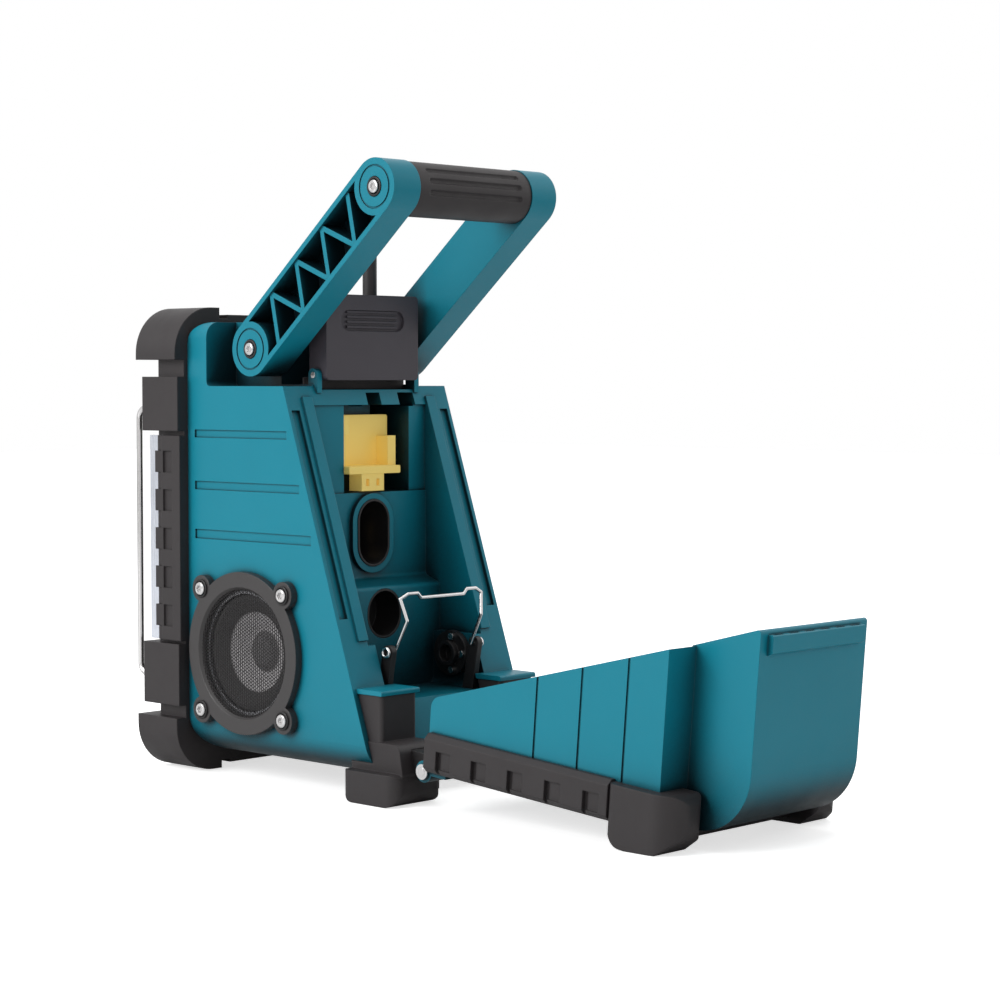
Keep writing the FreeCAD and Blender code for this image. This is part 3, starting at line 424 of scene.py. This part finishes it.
def copies_joined(pattern, moves):
    """One object made of the pattern's mesh put down once for each move."""
    copies = []
    for move in moves:
        copy = bpy.data.objects.new("copy", pattern.data.copy())
        copy.data.transform(move)
        bpy.context.collection.objects.link(copy)
        copies.append(copy)
    bpy.data.objects.remove(pattern)
    return joined(copies)


def stretched_to(centre, size):
    """The move that takes a cube of side one to a place and a size."""
    return Matrix.Translation(centre) @ Matrix.Diagonal((*size, 1))


def select_faces(piece, wanted):
    """Selects the faces of a mesh in edit mode whose normal passes a test."""
    bpy.ops.mesh.select_mode(type="FACE")
    bpy.ops.mesh.select_all(action="DESELECT")
    bpy.ops.object.mode_set(mode="OBJECT")
    for face in piece.data.polygons:
        face.select = wanted(face.normal)
    bpy.ops.object.mode_set(mode="EDIT")


# Speaker mesh

MESH_PITCH = 2.1 * MM
MESH_BRIDGE = 0.46 * MM
MESH_THICKNESS = 0.3 * MM
MESH_SINK = 1.4 * MM
MESH_TUCK = 0.63 * MM
MESH_MERGE = 0.05 * MM


def mesh_cell():
    """The border of one six-sided hole, facing +X from the origin."""
    bpy.ops.mesh.primitive_circle_add(vertices=6, radius=MESH_PITCH / math.sqrt(3), fill_type="NGON",
                                      location=(0, 0, 0))
    cell = bpy.context.object
    bpy.ops.object.mode_set(mode="EDIT")
    bpy.ops.mesh.select_all(action="SELECT")
    bpy.ops.mesh.inset(thickness=MESH_BRIDGE / 2, depth=0)
    bpy.ops.mesh.delete(type="FACE")
    bpy.ops.object.mode_set(mode="OBJECT")
    cell.data.transform(Matrix.Rotation(QUARTER_TURN, 4, "Y"))
    return cell


def speaker_mesh(side):
    """A punched steel disc just inside the ring's face, with its rim tucked into the ring."""
    low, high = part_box("speaker_grille_" + side)
    ring_low, ring_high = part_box("speaker_ring_" + side)
    centre = (low + high) / 2
    radius = (high.y - low.y) / 2
    depth = MESH_SINK + MESH_THICKNESS
    face = ring_high.x - depth if side == "right" else ring_low.x + depth
    step_z = MESH_PITCH
    step_y = MESH_PITCH * math.sqrt(3) / 2
    rows = int(radius / step_y) + 1
    moves = []
    for row in range(-rows, rows + 1):
        y = row * step_y
        shift = step_z / 2 if row % 2 else 0.0
        for column in range(-rows, rows + 1):
            z = column * step_z + shift
            if math.hypot(y, z) < radius + MESH_TUCK:
                moves.append(Matrix.Translation((face, centre.y + y, centre.z + z)))
    mesh = copies_joined(mesh_cell(), moves)
    bpy.ops.object.mode_set(mode="EDIT")
    bpy.ops.mesh.select_all(action="SELECT")
    bpy.ops.mesh.remove_doubles(threshold=MESH_MERGE)
    bpy.ops.object.mode_set(mode="OBJECT")
    thicken = mesh.modifiers.new("thickness", "SOLIDIFY")
    thicken.thickness = MESH_THICKNESS
    thicken.offset = 0
    apply_modifiers(mesh)
    finished("speaker_mesh_" + side, "body", "mesh", ["speaker_grille_" + side])


# Screws

SPEAKER_NODE_RADIUS = 4.6 * MM
SPEAKER_HEAD_RADIUS = 4.3 * MM
SPEAKER_HEAD_HEIGHT = 2.6 * MM
SPEAKER_HEAD_SOCKET = 2.3 * MM
SPEAKER_HEAD_SINK = 0.5 * MM
SPEAKER_CUP_RADIUS = 6.0 * MM
SPEAKER_CUP_BORE = 4.5 * MM
SPEAKER_CUP_HEIGHT = 0.9 * MM
HANDLE_HEAD_RADIUS = 4.0 * MM
HANDLE_HEAD_HEIGHT = 2.0 * MM
HANDLE_HEAD_SOCKET = 2.1 * MM
HANDLE_CUP_RADIUS = 5.9 * MM
HANDLE_CUP_BORE = 4.3 * MM
HANDLE_CUP_HEIGHT = 0.8 * MM

# Shares of a head's height, and of a cup's wall and height
HEAD_DOME = 0.45
CUP_SLOPE = 0.35
CUP_INNER_SLOPE = 0.3
CUP_RISE = 0.25
CUP_DISH = 1.1


def screw_head(radius, height, socket):
    """A domed head with a six-sided socket, facing +X from the origin."""
    bpy.ops.mesh.primitive_cylinder_add(vertices=32, radius=radius, depth=height, location=(0, 0, height / 2))
    head = bpy.context.object
    bpy.ops.object.transform_apply(location=True)
    bpy.ops.object.mode_set(mode="EDIT")
    select_faces(head, lambda normal: normal.z > 0.9)
    bpy.ops.mesh.bevel(offset=height * HEAD_DOME, segments=3, affect="EDGES")
    bpy.ops.object.mode_set(mode="OBJECT")
    bpy.ops.mesh.primitive_cylinder_add(vertices=6, radius=socket, depth=height, location=(0, 0, height))
    key_way = bpy.context.object
    cut = head.modifiers.new("socket", "BOOLEAN")
    cut.operation = "DIFFERENCE"
    cut.object = key_way
    bpy.ops.object.select_all(action="DESELECT")
    head.select_set(True)
    apply_modifiers(head)
    bpy.data.objects.remove(key_way)
    head.data.transform(Matrix.Rotation(QUARTER_TURN, 4, "Y"))
    return head


def cup_washer(radius, bore, height):
    """A ring with a dished top that a screw head sits in, facing +X from the origin."""
    wall = radius - bore
    bpy.ops.mesh.primitive_circle_add(vertices=36, radius=radius, fill_type="NGON", location=(0, 0, 0))
    cup = bpy.context.object
    bpy.ops.object.mode_set(mode="EDIT")
    bpy.ops.mesh.select_all(action="SELECT")
    bpy.ops.mesh.extrude_region_move(TRANSFORM_OT_translate={"value": (0, 0, height)})
    bpy.ops.mesh.inset(thickness=wall * CUP_SLOPE, depth=height * CUP_RISE)
    bpy.ops.mesh.inset(thickness=wall * CUP_SLOPE, depth=0)
    bpy.ops.mesh.inset(thickness=wall * CUP_INNER_SLOPE, depth=-height * CUP_DISH)
    bpy.ops.object.mode_set(mode="OBJECT")
    cup.data.transform(Matrix.Rotation(QUARTER_TURN, 4, "Y"))
    return cup


def moves_to(places):
    """For each place, a turn that faces its own side of the radio, then the way there."""
    moves = []
    for place in places:
        turn = Matrix.Identity(4) if place.x > 0 else Matrix.Rotation(math.pi, 4, "Z")
        moves.append(Matrix.Translation(place) @ turn)
    return moves


def on_both_sides(places):
    return places + [Vector((-place.x, place.y, place.z)) for place in places]


def speaker_screws():
    """Bright domed screws in black cups at the four lobes of each speaker ring."""
    ring_low, ring_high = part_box("speaker_ring_right")
    screw_low, screw_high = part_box("speaker_screws")
    centre = (ring_low + ring_high) / 2
    reach = (screw_high.y - screw_low.y) / 2 - SPEAKER_NODE_RADIUS
    sunk = Vector((-SPEAKER_HEAD_SINK, 0, 0))
    places = []
    for y in (centre.y - reach, centre.y + reach):
        for z in (centre.z - reach, centre.z + reach):
            places.append(Vector((ring_high.x, y, z)))
    head = screw_head(SPEAKER_HEAD_RADIUS, SPEAKER_HEAD_HEIGHT, SPEAKER_HEAD_SOCKET)
    copies_joined(head, moves_to(on_both_sides([place + sunk for place in places])))
    finished("speaker_screw_heads", "body", "steel", ["speaker_screws"])
    cup = cup_washer(SPEAKER_CUP_RADIUS, SPEAKER_CUP_BORE, SPEAKER_CUP_HEIGHT)
    copies_joined(cup, moves_to(on_both_sides(places)))
    finished("speaker_screw_cups", "body", "dark")


def handle_screws(node):
    """A bright head in a black cup on each end of a pair of the handle's screws."""
    low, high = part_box(node)
    centre = (low + high) / 2
    places = on_both_sides([Vector((high.x, centre.y, centre.z))])
    copies_joined(cup_washer(HANDLE_CUP_RADIUS, HANDLE_CUP_BORE, HANDLE_CUP_HEIGHT), moves_to(places))
    finished(node + "_cups", "handle", "dark")
    copies_joined(screw_head(HANDLE_HEAD_RADIUS, HANDLE_HEAD_HEIGHT, HANDLE_HEAD_SOCKET), moves_to(places))
    finished(node + "_heads", "handle", "steel")


# Small pieces of the bumper, the bail and the latch

SOFT_EDGE = 0.3 * MM
RIB_COUNT = 5
RIB_PITCH = 25 * MM
RIB_HEIGHT = 14 * MM
FIRST_RIB = 9 * MM
PAD_FACE_X = 77.4 * MM
PAD_FRONT_Y = -114 * MM
PAD_REAR_Y = -109.8 * MM
BAIL_WIRE_RADIUS = 1.1 * MM
CURL_X = 41.2 * MM
CURL_RADIUS = 2.8 * MM
CURL_WIRE_RADIUS = 1.0 * MM
CURL_MERGE = 0.01 * MM
SEAL_LOW = Vector((-44, -10.4, 248.9)) * MM
SEAL_HIGH = Vector((44, -9.2, 256.5)) * MM


def soft_block(low, high):
    """A block between two corners with its edges taken off."""
    bpy.ops.mesh.primitive_cube_add(size=1, location=(0, 0, 0))
    block = bpy.context.object
    block.data.transform(stretched_to((low + high) / 2, high - low))
    bpy.ops.object.mode_set(mode="EDIT")
    bpy.ops.mesh.select_all(action="SELECT")
    bpy.ops.mesh.bevel(offset=SOFT_EDGE, segments=2, affect="EDGES")
    bpy.ops.object.mode_set(mode="OBJECT")
    return block


def rib_gaps(bottom, top):
    """The heights between which the bumper's side has no rib."""
    feet = [bottom + FIRST_RIB + i * RIB_PITCH for i in range(RIB_COUNT)]
    heads = [foot + RIB_HEIGHT for foot in feet]
    return zip([bottom] + heads, feet + [top])


def rib_pads(side):
    """Thin rubber pads between the bumper's ribs, over the rear part of the bright strip."""
    low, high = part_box("trim_strip_" + side)
    left, right = (high.x, PAD_FACE_X) if side == "right" else (-PAD_FACE_X, low.x)
    joined([soft_block(Vector((left, PAD_FRONT_Y, bottom)), Vector((right, PAD_REAR_Y, top)))
            for bottom, top in rib_gaps(low.z, high.z)])
    finished("rib_pads_" + side, "body", "rubber")


def bail_curls():
    """The bail's wire curled round outside each post, which keeps it in."""
    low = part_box("battery_bail")[0]
    axis_y = low.y + BAIL_WIRE_RADIUS
    axis_z = low.z + BAIL_WIRE_RADIUS
    bpy.ops.mesh.primitive_circle_add(vertices=12, radius=CURL_WIRE_RADIUS, location=(0, CURL_RADIUS, 0))
    curl = bpy.context.object
    bpy.ops.object.transform_apply(location=True)
    bpy.ops.object.mode_set(mode="EDIT")
    bpy.ops.mesh.select_all(action="SELECT")
    bpy.ops.mesh.spin(steps=32, angle=math.radians(360), center=(0, 0, 0), axis=(1, 0, 0))
    bpy.ops.mesh.select_all(action="SELECT")
    bpy.ops.mesh.remove_doubles(threshold=CURL_MERGE)
    bpy.ops.mesh.normals_make_consistent(inside=False)
    bpy.ops.object.mode_set(mode="OBJECT")
    copies_joined(curl, [Matrix.Translation((x, axis_y, axis_z)) for x in (-CURL_X, CURL_X)])
    bpy.ops.object.shade_smooth()
    finished("bail_curls", "bail", "steel")


def latch_seal():
    """A thin rubber lip on the well's floor that closes the gap under the latch."""
    soft_block(SEAL_LOW, SEAL_HIGH)
    finished("latch_seal", "body", "rubber")


# Display marks, as left edge, foot, width and height in millimetres

MARKS_LEFT = 8
MARKS_FOOT = 9
MARK_DEPTH = 0.15
MARK_RISE = 0.1
LEVEL_COUNT = 6
LEVEL_PITCH = 3.2
LEVEL_WIDTH = 2.0
LEVEL_LOWEST = 3.0
LEVEL_GROWTH = 1.6
TICK_COUNT = 21
TICK_PITCH = 3.0
TICK_FOOT = 16.0
TICK_WIDTH = 0.5
TICK_SHORT = 1.8
TICK_LONG = 3.4
TICKS_TO_LONG = 5
SCALE_LINE = (0, 15.2, 60.5, 0.4)
POINTER = (33, 20.5, 1.0, 5.0)
BATTERY_INSET = 22
BATTERY_OUTLINE = ((0, 0, 12, 0.6), (0, 5.4, 12, 0.6), (0, 0.1, 0.6, 5.8), (11.4, 0.1, 0.6, 5.8))
BATTERY_TIP = (12, 1.8, 1.2, 2.4)
BATTERY_CELLS = ((1.4, 1.4, 2.2, 3.2), (4.4, 1.4, 2.2, 3.2))

KEY_COUNT = 9
KEYS_IN_TOP_ROW = 5
KEY_BAR = Vector((0.6, 0.3, 3.0)) * MM
KEY_BAR_PITCH = 1.5 * MM
KEY_BAR_SINK = 0.1 * MM


def level_bars():
    return [(i * LEVEL_PITCH, 0, LEVEL_WIDTH, LEVEL_LOWEST + i * LEVEL_GROWTH) for i in range(LEVEL_COUNT)]


def tuning_scale():
    bars = [SCALE_LINE, POINTER]
    for i in range(TICK_COUNT):
        tall = TICK_SHORT if i % TICKS_TO_LONG else TICK_LONG
        bars.append((i * TICK_PITCH, TICK_FOOT, TICK_WIDTH, tall))
    return bars


def battery_picture(left):
    return [(left + x, foot, wide, tall)
            for x, foot, wide, tall in (*BATTERY_OUTLINE, BATTERY_TIP, *BATTERY_CELLS)]


def display_marks():
    """Plain marks of a tuner display: a level scale, a tuning line and a battery outline."""
    window_low, window_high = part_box("display_window")
    screen_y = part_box("display_module")[0].y
    inset = Vector((MARKS_LEFT, -MARK_RISE, MARKS_FOOT)) * MM
    corner = Vector((window_low.x, screen_y, window_low.z)) + inset
    battery_left = (window_high.x - window_low.x) / MM - MARKS_LEFT - BATTERY_INSET
    moves = []
    for x, foot, wide, tall in level_bars() + tuning_scale() + battery_picture(battery_left):
        centre = corner + Vector((x + wide / 2, 0, foot + tall / 2)) * MM
        moves.append(stretched_to(centre, Vector((wide, MARK_DEPTH, tall)) * MM))
    bpy.ops.mesh.primitive_cube_add(size=1, location=(0, 0, 0))
    copies_joined(bpy.context.object, moves)
    finished("display_marks", "body", "lcd_mark")


def key_mark(number):
    """Raised bars in the middle of a key, one more on each key of a row."""
    low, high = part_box("button_%d" % number)
    centre = (low + high) / 2
    count = number if number <= KEYS_IN_TOP_ROW else number - KEYS_IN_TOP_ROW
    moves = []
    for i in range(count):
        x = centre.x + (i - (count - 1) / 2) * KEY_BAR_PITCH
        moves.append(stretched_to(Vector((x, low.y + KEY_BAR_SINK, centre.z)), KEY_BAR))
    bpy.ops.mesh.primitive_cube_add(size=1, location=(0, 0, 0))
    copies_joined(bpy.context.object, moves)
    finished("key_mark_%d" % number, "key_%d" % number, "print")


# Stage, lights and camera

CAMERA_PLACE = Vector((1.07088, 1.13461, 0.25482))
CAMERA_AZIMUTH = math.radians(133.4666)
CAMERA_PITCH = math.radians(2.828)
CAMERA_LENS = 87.42
CAMERA_SENSOR = 36.0
CAMERA_NEAREST = 0.05
WORLD_LIGHT = 0.38
FLOOR_SIZE = 12
FLOOR_DROP = 0.3 * MM
FLOOR_GLOW = 0.66

# Each lamp's place, size and power, all aimed at the middle of the radio
LAMP_TARGET = Vector((0, 0.1, 0.15))
LAMPS = {
    "key": ((1.9, -0.5, 1.1), 1.2, 32),
    "fill": ((0.9, 1.9, 0.8), 1.4, 2),
    "top": ((0.1, 0.1, 2.2), 1.6, 16),
    "left": ((-1.6, 0.5, 0.9), 1.2, 4),
}


def camera():
    data = bpy.data.cameras.new("camera")
    data.lens = CAMERA_LENS
    data.sensor_width = CAMERA_SENSOR
    data.clip_start = CAMERA_NEAREST
    eye = bpy.data.objects.new("camera", data)
    back = Vector((math.sin(CAMERA_AZIMUTH) * math.cos(CAMERA_PITCH),
                   -math.cos(CAMERA_AZIMUTH) * math.cos(CAMERA_PITCH), math.sin(CAMERA_PITCH)))
    eye.rotation_euler = back.to_track_quat("Z", "Y").to_euler()
    eye.location = CAMERA_PLACE
    bpy.context.scene.collection.objects.link(eye)
    bpy.context.scene.camera = eye


def seen_directly(tree):
    """One for camera rays, reflections and rays through glass, nought for the light itself."""
    path = tree.nodes.new("ShaderNodeLightPath")
    seen = path.outputs["Is Camera Ray"]
    for ray in ("Is Glossy Ray", "Is Transmission Ray"):
        either = tree.nodes.new("ShaderNodeMath")
        either.operation = "MAXIMUM"
        tree.links.new(seen, either.inputs[0])
        tree.links.new(path.outputs[ray], either.inputs[1])
        seen = either.outputs[0]
    return seen


def world():
    sky = bpy.data.worlds.new("studio")
    bpy.context.scene.world = sky
    sky.use_nodes = True
    tree = sky.node_tree
    plain = tree.nodes["Background"]
    plain.inputs["Color"].default_value = (*WHITE, 1)
    plain.inputs["Strength"].default_value = WORLD_LIGHT
    white = tree.nodes.new("ShaderNodeBackground")
    white.inputs["Color"].default_value = (*WHITE, 1)
    white.inputs["Strength"].default_value = 1.0
    mix = tree.nodes.new("ShaderNodeMixShader")
    tree.links.new(seen_directly(tree), mix.inputs["Fac"])
    tree.links.new(plain.outputs[0], mix.inputs[1])
    tree.links.new(white.outputs[0], mix.inputs[2])
    tree.links.new(mix.outputs[0], tree.nodes["World Output"].inputs["Surface"])


def floor():
    """A pale floor that is white to the camera except where the object shades it."""
    bpy.ops.mesh.primitive_plane_add(size=FLOOR_SIZE, location=(0, 0, -FLOOR_DROP))
    plane = bpy.context.object
    plane.name = "floor"
    material, tree, shader, place = new_material("pale_floor")
    tree.links.new(colour_between(tree, noise(tree, place, FLOOR_SCALE), FLOOR_DULL, FLOOR_CLEAN),
                   shader.inputs["Base Color"])
    shader.inputs["Roughness"].default_value = FLOOR_ROUGH
    glow = tree.nodes.new("ShaderNodeEmission")
    glow.inputs["Color"].default_value = (*WHITE, 1)
    glow.inputs["Strength"].default_value = FLOOR_GLOW
    both = tree.nodes.new("ShaderNodeAddShader")
    tree.links.new(shader.outputs[0], both.inputs[0])
    tree.links.new(glow.outputs[0], both.inputs[1])
    path = tree.nodes.new("ShaderNodeLightPath")
    mix = tree.nodes.new("ShaderNodeMixShader")
    tree.links.new(path.outputs["Is Camera Ray"], mix.inputs["Fac"])
    tree.links.new(shader.outputs[0], mix.inputs[1])
    tree.links.new(both.outputs[0], mix.inputs[2])
    tree.links.new(mix.outputs[0], tree.nodes["Material Output"].inputs["Surface"])
    paint(plane, material)


def lamp(name, place, size, watts):
    data = bpy.data.lights.new(name, "AREA")
    data.size = size
    data.energy = watts
    light = bpy.data.objects.new(name, data)
    light.location = place
    light.rotation_euler = (Vector(place) - LAMP_TARGET).to_track_quat("Z", "Y").to_euler()
    bpy.context.scene.collection.objects.link(light)


paint_nodes()
for side in SIDES:
    speaker_mesh(side)
speaker_screws()
handle_screws("pivot_screws")
handle_screws("grip_screws")
for side in SIDES:
    rib_pads(side)
bail_curls()
latch_seal()
display_marks()
for number in range(1, KEY_COUNT + 1):
    key_mark(number)
camera()
world()
floor()
for name, (place, size, watts) in LAMPS.items():
    lamp(name, place, size, watts)
bpy.context.scene.view_settings.view_transform = "Standard"
bpy.context.view_layer.update()
